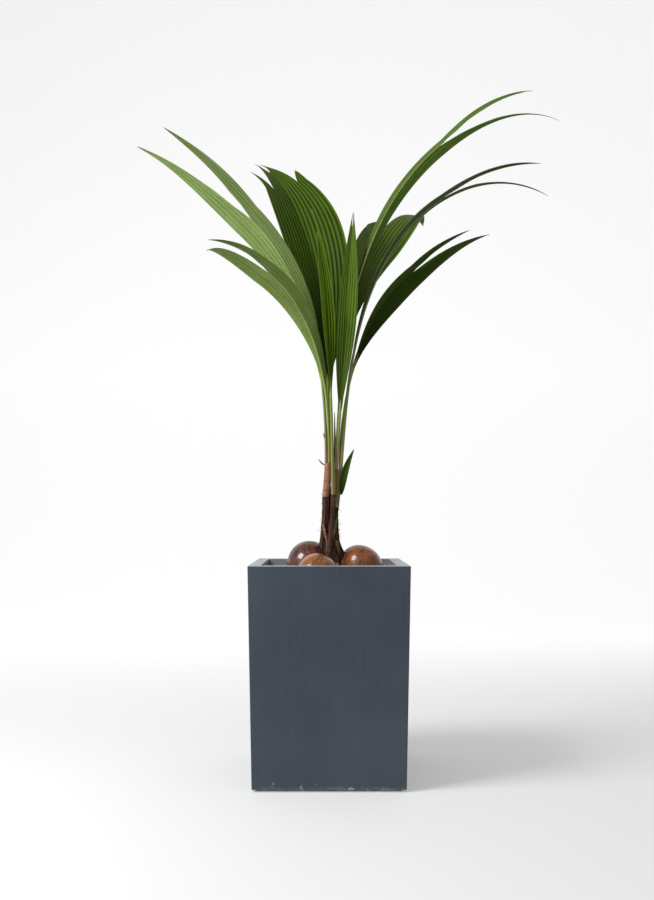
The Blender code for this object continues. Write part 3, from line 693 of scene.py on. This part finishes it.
def frameAt(frond, lobe, place, point):
    # the blade's directions and sizes at a place, and the share of its width that the fork takes there
    heading = leanAndHeading(frond, lobe, place)[1]
    along = direction(frond, lobe, place)
    level = Vector((math.sin(heading), -math.cos(heading), 0.0))
    raised = level.cross(along)
    onRib = min(1.0, place / frond["rib"])
    onLobe = min(1.0, max(0.0, place - frond["rib"]) / frond["lobes"][lobe])
    turn = mixed(frond["turnFoot"], frond["turnFork"], onRib)
    turn = math.radians(turn + (frond["turnTips"][lobe] - frond["turnFork"]) * onLobe)
    across = math.cos(turn) * level + math.sin(turn) * raised
    face = math.cos(turn) * raised - math.sin(turn) * level
    share = (place - frond["stalk"]) / (frond["rib"] + frond["lobes"][lobe] - frond["stalk"])
    half = frond["halfWidth"][lobe] * bladeWidth(frond, share)
    stalk = blade["stalkHalf"] * (1 - 0.8 * onRib) * (1 - 0.5 * onLobe)
    side = 1 if lobe == 0 else -1
    fold = math.radians(frond["fold"]) * min(1.0, half / (3 * stalk))
    return dict(
        point=point, along=along, across=across, face=face, stalk=stalk, half=half, share=share,
        width=math.hypot(stalk, half), onRib=onRib, onLobe=onLobe,
        out=side * math.cos(fold) * across + math.sin(fold) * face,
        up=math.cos(fold) * face - side * math.sin(fold) * across,
        lost=frond["notch"][lobe] * (1 - (1 - onLobe) ** 3))


def walk(frond, lobe, places):
    # follows the rib from its foot in short straight steps
    point = Vector(frond["foot"]) + Vector((0.0, 0.0, gap))
    done = 0.0
    frames = []
    for place in places:
        steps = max(1, math.ceil((place - done) / blade["walkStep"]))
        step = (place - done) / steps
        for n in range(steps):
            point = point + direction(frond, lobe, done + (n + 0.5) * step) * step
        done = place
        frames.append(frameAt(frond, lobe, place, point.copy()))
    return frames


def tearStrip(strip, places, frames, points, vein, shares):
    # the rows past the split leave the blade as a strip of their own, which narrows to its end
    rows = [n for n, place in enumerate(places) if place > strip["start"] + slack]
    first = rows[0] - 1
    edge = points[first].copy()
    middle = 0.5 * (edge[0] + edge[-1])
    offset = edge - middle
    out, up, along = (np.array(frames[first][k]) for k in ("out", "up", "along"))
    step = strip["length"] / len(rows)
    for n, row in enumerate(rows, start=1):
        t = n / len(rows)
        splay, droop = math.radians(strip["splay"] * t), math.radians(strip["droop"] * t)
        ahead = along * math.cos(splay) + out * math.sin(splay)
        middle = middle + (ahead * math.cos(droop) - up * math.sin(droop)) * step
        narrow = 1 - t ** 1.4
        across = out * math.cos(splay) - along * math.sin(splay)
        points[row] = middle + np.outer(offset @ out, across) * narrow + np.outer(offset @ up, up) * narrow
        vein[row] = vein[first]
        shares[row] = shares[first] + (1 - shares[first]) * t


def halfSheet(name, frond, lobe, low, high, places, strip=None):
    # one side of the blade, from a share low to high of its width, with its pleats
    frames = walk(frond, lobe, places)
    columns = max(6, round(blade["columns"] * (high - low)))
    rows = len(places) - 1
    reach = np.linspace(low, high, columns + 1)
    points = np.empty((rows + 1, columns + 1, 3))
    vein = np.empty((rows + 1, columns + 1))
    rng = random.Random(name + str(lobe))
    waves = [(rng.uniform(*blade["waveRates"]), rng.uniform(0, 6.3), rng.uniform(*blade["waveSizes"]))
             for _ in range(blade["waves"])]
    shares = np.array([f["share"] for f in frames])
    for row, f in enumerate(frames):
        spot, out, up = (np.array(f[k]) for k in ("point", "out", "up"))
        place, share = places[row], max(0.0, f["share"])
        lost = f["lost"] if low == 0.0 else low
        inner = lost + (reach - low) / (high - low) * (high - lost)
        away = f["width"] * inner
        vein[row] = frond["pleats"] * inner - blade["newPleats"] * share * (1 - inner)
        pitch = f["width"] / (frond["pleats"] + blade["newPleats"] * share)
        wave = (2 / math.pi) * np.arcsin(0.96 * np.sin(2 * math.pi * vein[row]))
        calm = np.clip(inner * 6, 0, 1) * np.clip((1 - inner) * 7, 0.15, 1)
        lift = blade["pleatDepth"] * pitch * wave * calm
        sway = sum(size * math.sin(rate * place + start) for rate, start, size in waves) / blade["waves"]
        lift = lift + blade["waver"] * sway * inner ** 2 * min(1.0, f["half"] / 0.02)
        lift = lift + blade["lift"]
        points[row] = spot + out * away[:, None] + up * lift[:, None]
        if low == 0.0 and f["onLobe"] == 0.0:
            points[row, 0] = spot + np.array(f["face"]) * blade["lift"]
    if strip:
        tearStrip(strip, places, frames, points, vein, shares)
    sheet = grid(name, columns, rows)
    whole = np.ones((rows + 1, columns + 1))
    marks = {"vein": vein, "reach": whole * reach[None, :], "along": whole * np.clip(shares, 0, 1)[:, None]}
    layOut(sheet, columns, rows, points, marks)
    if lobe == 1:
        select(sheet)
        bpy.ops.object.mode_set(mode="EDIT")
        bpy.ops.mesh.select_all(action="SELECT")
        bpy.ops.mesh.flip_normals()
        bpy.ops.object.mode_set(mode="OBJECT")
    return sheet


def rowsBetween(start, end):
    count = max(2, round((end - start) / blade["rowStep"]))
    return [start + (end - start) * n / count for n in range(count + 1)]


def makeBlade(name, frond):
    sheets = []
    begin = frond["stalk"] + blade["start"]
    for lobe in (0, 1):
        tip = frond["rib"] + frond["lobes"][lobe] - blade["tipShort"]
        strip = frond["sideStrips"][lobe] if "sideStrips" in frond else None
        cuts = [begin, frond["rib"], tip]
        if strip:
            cuts = [begin, strip["start"], frond["rib"], tip]
        places = [begin]
        for low, high in zip(cuts[:-1], cuts[1:]):
            places += rowsBetween(low, high)[1:]
        if strip:
            sheets.append(halfSheet(name, frond, lobe, 0.0, blade["stripFrom"], places))
            short = [p for p in places if p <= strip["start"] + slack]
            count = blade["stripRows"]
            short += [strip["start"] + strip["length"] * (n + 1) / count for n in range(count)]
            sheets.append(halfSheet(name, frond, lobe, blade["stripFrom"], 1.0, short, strip))
        else:
            sheets.append(halfSheet(name, frond, lobe, 0.0, 1.0, places))
    leaf = join("blade_" + name, sheets)
    weld(leaf, 0.00002)
    return leaf


leafStalk = dict(start=0.0005, past=0.02, sides=16, thick=0.0100, wide=(0.9, 0.5), above=(0.40, 0.02),
                 below=0.60, channel=0.35)


def makeStalk(name, frond):
    # leaf stalk and midrib, a channelled rod that thins past the fork; pairs are for the stalk and the midrib
    end = frond["rib"] + leafStalk["past"]
    places = rowsBetween(leafStalk["start"], end)
    frames = walk(frond, 0, places)
    sides = leafStalk["sides"]
    turn = 2 * math.pi * np.arange(sides) / sides
    height = np.sin(turn)
    path = np.array([f["point"] for f in frames])
    around = np.zeros((len(places), sides, 3))
    for row, f in enumerate(frames):
        across, face = np.array(f["across"]), np.array(f["face"])
        beyond = places[row] - frond["rib"]
        thin = 1.0 if beyond < 0 else max(0.05, 1 - beyond / leafStalk["past"])
        deep = mixed(leafStalk["thick"], 0.30 * leafStalk["thick"], min(1.0, f["onRib"])) * thin
        onBlade = min(1.0, max(0.0, f["half"] / 0.012))
        wide = f["stalk"] * thin * mixed(*leafStalk["wide"], onBlade)
        top = mixed(*leafStalk["above"], onBlade)
        upper = height * top * deep * (1 - 0.5 * np.cos(turn) ** 8)
        lift = np.where(height > 0, upper, height * leafStalk["below"] * deep)
        channel = leafStalk["channel"] * top * deep * np.exp(-(np.cos(turn) / 0.35) ** 2) * (height > 0)
        sideways = across[None, :] * (np.cos(turn) * wide)[:, None]
        around[row] = sideways + face[None, :] * (lift - channel)[:, None]
    along = np.clip(np.array(places) / end, 0, 1)
    marks = {"along": np.repeat(along[:, None], sides + 1, 1)}
    rod = tube("stalk_" + name, path, around, sides, marks)
    soften(rod, 60)
    return rod


leafTonesWithPaintedLight = {
    # pale ridges, deep grooves and the rib: own colour and painted light, set to how lit each frond is; shade
    # is painted shade at the foot
    # the left fronds are paled with painted light shining through them from behind
    "left_high": dict(slot="blade_light", shade=0.25,
                      pale=tone(198, 220, 146), deep=tone(104, 132, 54), rib=tone(166, 176, 104)),
    "left_low": dict(slot="blade_light", shade=0.25,
                     pale=tone(164, 188, 110), deep=tone(74, 98, 34), rib=tone(156, 166, 88)),
    "back_left": dict(slot="blade_dark", shade=0.7,
                      pale=tone(72, 98, 6), deep=tone(16, 36, 0), rib=tone(112, 132, 40)),
    "back_right": dict(slot="blade_dark", shade=0.7,
                       pale=tone(92, 114, 34), deep=tone(46, 68, 4), rib=tone(104, 122, 50)),
    "right_high": dict(slot="blade_mid", shade=0.7,
                       pale=tone(104, 132, 54), deep=tone(42, 64, 14), rib=tone(156, 164, 104)),
    "right_mid": dict(slot="blade_dark", shade=0.7,
                      pale=tone(92, 108, 66), deep=tone(36, 50, 18), rib=tone(120, 132, 80)),
    "right_low": dict(slot="blade_dark", shade=0.7,
                      pale=tone(58, 82, 18), deep=tone(24, 42, 2), rib=tone(104, 122, 44)),
    "spear": dict(slot="blade_mid", shade=0.7,
                  pale=tone(98, 126, 34), deep=tone(34, 54, 3), rib=tone(128, 146, 70)),
    "front_young": dict(slot="blade_light", shade=0.7,
                        pale=tone(112, 146, 30), deep=tone(30, 50, 2), rib=tone(118, 140, 52)),
    "scale_leaf": dict(slot="blade_mid", shade=0.7,
                       pale=tone(72, 98, 26), deep=tone(26, 46, 4), rib=tone(96, 120, 44)),
}
leafTones = dict(dryTip=tone(150, 128, 92), stalkFoot=tone(132, 112, 66), stalk=tone(112, 126, 46),
                 stalkRun=tone(98, 112, 44))


def leafFinish(name, look, face):
    # the ridges and grooves follow the pleats; reach is 0 at the rib and 1 at the edge
    pale, deep, rib = look["pale"], look["deep"], look["rib"]
    paint = Finish(name, Specular_IOR_Level=0.05 if face == "Under" else 0.08)
    vein, reach, along = paint.mark("vein"), paint.mark("reach"), paint.mark("along")
    ridge = 0.5 + 0.5 * (vein * (2 * math.pi)).sine()
    thread = 0.5 + 0.5 * (vein * (2 * math.pi * 5)).sine()
    patch = paint.noise(9.0, 4.0, 0.6)
    lengthwise = paint.node("CombineXYZ", {}, {0: vein * 2.5, 1: along * 5.0, 2: reach})
    long = paint.noise(1.0, 3.0, 0.6, at=lengthwise)
    share = 0.62 * ridge + 0.14 * thread + 0.40 * paint.step(long, 0.3, 0.7) * paint.step(patch, 0.2, 0.8)
    body = paint.mix(share, deep, pale)
    line = paint.step(ridge, 0.90, 1.0)
    body = paint.mix(0.75 * line, body, mixColour(pale, deep, 1.25 if face == "Under" else -0.3))
    edge = paint.step(reach, 0.965, 1.0)
    body = paint.mix(0.45 * edge, body, rib)
    foot = 1.0 - paint.step(along, 0.0, 0.5)
    body = paint.mix(look["shade"] * foot, body, mixColour(deep, (0.0, 0.0, 0.0), 0.45))
    dry = paint.step(along + 0.03 * patch, 0.965, 1.0)
    body = paint.mix(dry, body, leafTones["dryTip"])
    rough = 0.42 + 0.14 * thread + (0.1 if face == "Under" else 0.0)
    grain = paint.noise(900.0, 2.0, 0.5)
    return paint.done(Base_Color=body, Roughness=rough, Normal=paint.bump(thread + 0.3 * grain, 0.00025, 0.6))


def stalkFinish(name, look):
    paint = Finish(name, Specular_IOR_Level=0.45)
    along = paint.mark("along")
    run = paint.noise(1.0, 4.0, 0.6, at=paint.place((260.0, 260.0, 16.0)))
    body = paint.mix(paint.step(along, 0.02, 0.16), leafTones["stalkFoot"], leafTones["stalk"])
    body = paint.mix(paint.step(along, 0.15, 0.5), body, look["rib"])
    body = paint.mix(0.5 * paint.step(run, 0.45, 0.7), body, leafTones["stalkRun"])
    return paint.done(Base_Color=body, Roughness=0.42 + 0.2 * run, Normal=paint.bump(run, 0.0006, 0.5))


for name, frond in fronds.items():
    look = leafTonesWithPaintedLight[name]
    leaf = makeBlade(name, frond)
    top = leafFinish("leafTop_" + name, look, "Top")
    under = leafFinish("leafUnder_" + name, look, "Under")
    finishWith(leaf, top, under)
    apply(leaf, "SOLIDIFY", thickness=blade["thick"], offset=-1.0, material_offset=1, material_offset_rim=1)
    soften(leaf, 60)
    rod = makeStalk(name, frond)
    finishWith(rod, stalkFinish("leafStalk_" + name, look))
    for piece in (leaf, rod):
        settle(piece, look["slot"], "frond_" + name)
print("fronds made")


# Scale leaf
scaleLeaf = dict(foot=(0.0290, -0.0115, 0.660), tip=(0.0590, -0.018, 0.768), half=0.0082, bow=0.006,
                 thick=0.0012, columns=16, rows=40)


def makeScaleLeaf():
    columns, rows = scaleLeaf["columns"], scaleLeaf["rows"]
    foot, tip = Vector(scaleLeaf["foot"]), Vector(scaleLeaf["tip"])
    ahead = (tip - foot).normalized()
    across = ahead.cross(Vector((0, 1, 0))).normalized()
    up = across.cross(ahead)
    points = np.empty((rows + 1, columns + 1, 3))
    side = np.linspace(-1, 1, columns + 1)
    for row in range(rows + 1):
        t = row / rows
        middle = foot.lerp(tip, t) + across * scaleLeaf["bow"] * math.sin(math.pi * t)
        half = max(0.0004, scaleLeaf["half"] * math.sin(math.pi * (0.03 + 0.97 * t ** 0.8)) ** 0.9)
        lift = -0.35 * half * side ** 2 + 0.0003 * np.cos(side * 14)
        points[row] = np.array(middle) + np.outer(side * half, across) + np.outer(lift, up)
    sheet = grid("scale_leaf_blade", columns, rows)
    ones = np.ones((rows + 1, columns + 1))
    along = ones * np.linspace(0, 1, rows + 1)[:, None]
    layOut(sheet, columns, rows, points, {"vein": ones * side * 3, "reach": ones * abs(side), "along": along})
    look = leafTonesWithPaintedLight["scale_leaf"]
    top = leafFinish("leafTop_scale", look, "Top")
    under = leafFinish("leafUnder_scale", look, "Under")
    finishWith(sheet, top, under)
    thick = scaleLeaf["thick"]
    apply(sheet, "SOLIDIFY", thickness=thick, offset=0.0, material_offset=1, material_offset_rim=1)
    weld(sheet, 0.00002, outward=True)
    soften(sheet, 60)
    settle(sheet, look["slot"], "scale_leaf")


makeScaleLeaf()
print("scale leaf made")


# Stage
stage = dict(width=14.0, back=4.5, front=5.0, rise=6.0, bend=1.6, glow=0.565, paint=0.53, floorShare=0.44)


def selectEdges(sheet, chosen):
    # edges whose two ends are both chosen by their place
    for edge in sheet.data.edges:
        edge.select = all(chosen(sheet.data.vertices[n].co) for n in edge.vertices)


def sweepFinish():
    # the wall and the far floor glow evenly, and the near floor less, so that the shadow shows on it
    paint = Finish("paleSweep", Roughness=0.9, Specular_IOR_Level=0.1, Emission_Strength=stage["glow"],
                   Base_Color=(stage["paint"],) * 3 + (1.0,))
    away, high = (paint.node("SeparateXYZ", {}, {0: paint.place()}, output=n) for n in (1, 2))
    far = paint.step(high, 0.0, 0.9).atLeast(paint.step(away, 0.1, 2.6))
    return paint.done(Emission_Color=paint.mix(far, (stage["floorShare"],) * 3 + (1.0,), (1.0,) * 4))


def makeStage():
    deselect()
    bpy.ops.mesh.primitive_plane_add(size=1)
    sweep = bpy.context.object
    sweep.name = "studio_sweep"
    sweep.scale = (stage["width"], stage["back"] + stage["front"], 1)
    sweep.location = (0, 0.5 * (stage["back"] - stage["front"]), 0)
    bpy.ops.object.transform_apply(location=True, rotation=True, scale=True)
    bpy.ops.object.mode_set(mode="EDIT")
    bpy.ops.mesh.select_mode(type="EDGE")
    bpy.ops.mesh.select_all(action="DESELECT")
    bpy.ops.object.mode_set(mode="OBJECT")
    selectEdges(sweep, lambda spot: spot.y > 0)
    bpy.ops.object.mode_set(mode="EDIT")
    bpy.ops.mesh.extrude_region_move(TRANSFORM_OT_translate={"value": (0, 0, stage["rise"])})
    bpy.ops.object.mode_set(mode="OBJECT")
    selectEdges(sweep, lambda spot: spot.y > 0 and abs(spot.z) < 0.001)
    bpy.ops.object.mode_set(mode="EDIT")
    bpy.ops.mesh.bevel(offset=stage["bend"], segments=24, affect="EDGES")
    bpy.ops.object.mode_set(mode="OBJECT")
    soften(sweep, 60)
    finishWith(sweep, sweepFinish())


lights = {
    "key": dict(place=(-2.1, -1.1, 2.55), aim=(0, 0, 0.6), size=(1.2, 1.2), power=94, colour=(1, 1, 1)),
    "fill": dict(place=(2.6, -2.6, 1.8), aim=(0, 0, 0.8), size=(2.0, 2.0), power=3, colour=(1, 1, 1)),
    "low left": dict(place=(-1.25, -1.0, 0.75), aim=(0, 0, 0.7), size=(0.9, 1.1), power=6,
                     colour=(0.93, 0.97, 1.0)),
}
air = dict(colour=(0.9, 0.9, 0.9, 1.0), strength=0.55)


def makeLight(name, light):
    deselect()
    bpy.ops.object.light_add(type="AREA", location=light["place"])
    lamp = bpy.context.object
    lamp.name = name
    lamp.data.shape = "RECTANGLE"
    lamp.data.size, lamp.data.size_y = light["size"]
    lamp.data.energy = light["power"]
    lamp.data.color = light["colour"]
    aim = Vector(light["aim"]) - Vector(light["place"])
    lamp.rotation_euler = aim.to_track_quat("-Z", "Y").to_euler()


def makeAir():
    world = bpy.data.worlds.new("studioAir")
    bpy.context.scene.world = world
    world.use_nodes = True
    background = world.node_tree.nodes["Background"]
    background.inputs["Color"].default_value = air["colour"]
    background.inputs["Strength"].default_value = air["strength"]


makeStage()
for name, light in lights.items():
    makeLight(name, light)
makeAir()
print("stage and lights set")


# Camera
# the focal length and the horizon are in picture rows, as worked out from the planter's edges
view = dict(place=(-0.0048, -2.277, 0.617), focal=954.1, rows=900, sensor=36.0, horizon=512.9, farEnd=60)
bpy.ops.object.camera_add(location=view["place"], rotation=(math.pi / 2, 0, 0))
camera = bpy.context.object
camera.data.sensor_fit = "VERTICAL"
camera.data.sensor_height = view["sensor"]
camera.data.lens = view["focal"] * view["sensor"] / view["rows"]
camera.data.shift_y = (view["horizon"] - view["rows"] / 2) / view["rows"]
camera.data.clip_end = view["farEnd"]
bpy.context.scene.camera = camera
bpy.context.scene.view_settings.view_transform = "Standard"
print("camera set")
